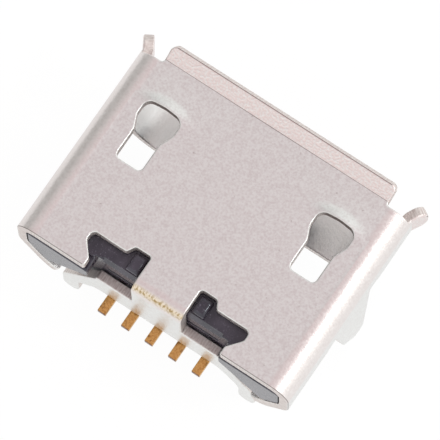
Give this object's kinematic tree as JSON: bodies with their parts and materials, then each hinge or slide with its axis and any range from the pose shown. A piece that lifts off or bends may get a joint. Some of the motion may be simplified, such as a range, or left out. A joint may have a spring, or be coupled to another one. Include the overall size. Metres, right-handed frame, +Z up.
{
  "type": "micro usb socket",
  "caption": "Micro USB socket for a circuit board: folded metal shell with latch holes and flared mouth, black housing, gold contacts with solder tails.",
  "frame": {"origin": "underside of the middle solder tail, at the height of the board's surface, in the socket's middle plane", "axes": "+X across the socket, the mouth faces -Y and the solder tails point to +Y, +Z up from the board through the shell's wide top plate"},
  "size_m": [0.0078, 0.0058, 0.0036],
  "materials": {
    "shell_steel": "satin nickel plate",
    "housing_plastic": "moulded, slightly glossy",
    "contact_gold": "thin gold plate"
  },
  "bodies": {
    "root": {"shell": "shell_steel", "housing": "housing_plastic", "contact_1": "contact_gold", "contact_2": "contact_gold", "contact_3": "contact_gold", "contact_4": "contact_gold", "contact_5": "contact_gold"}
  },
  "joints": []
}
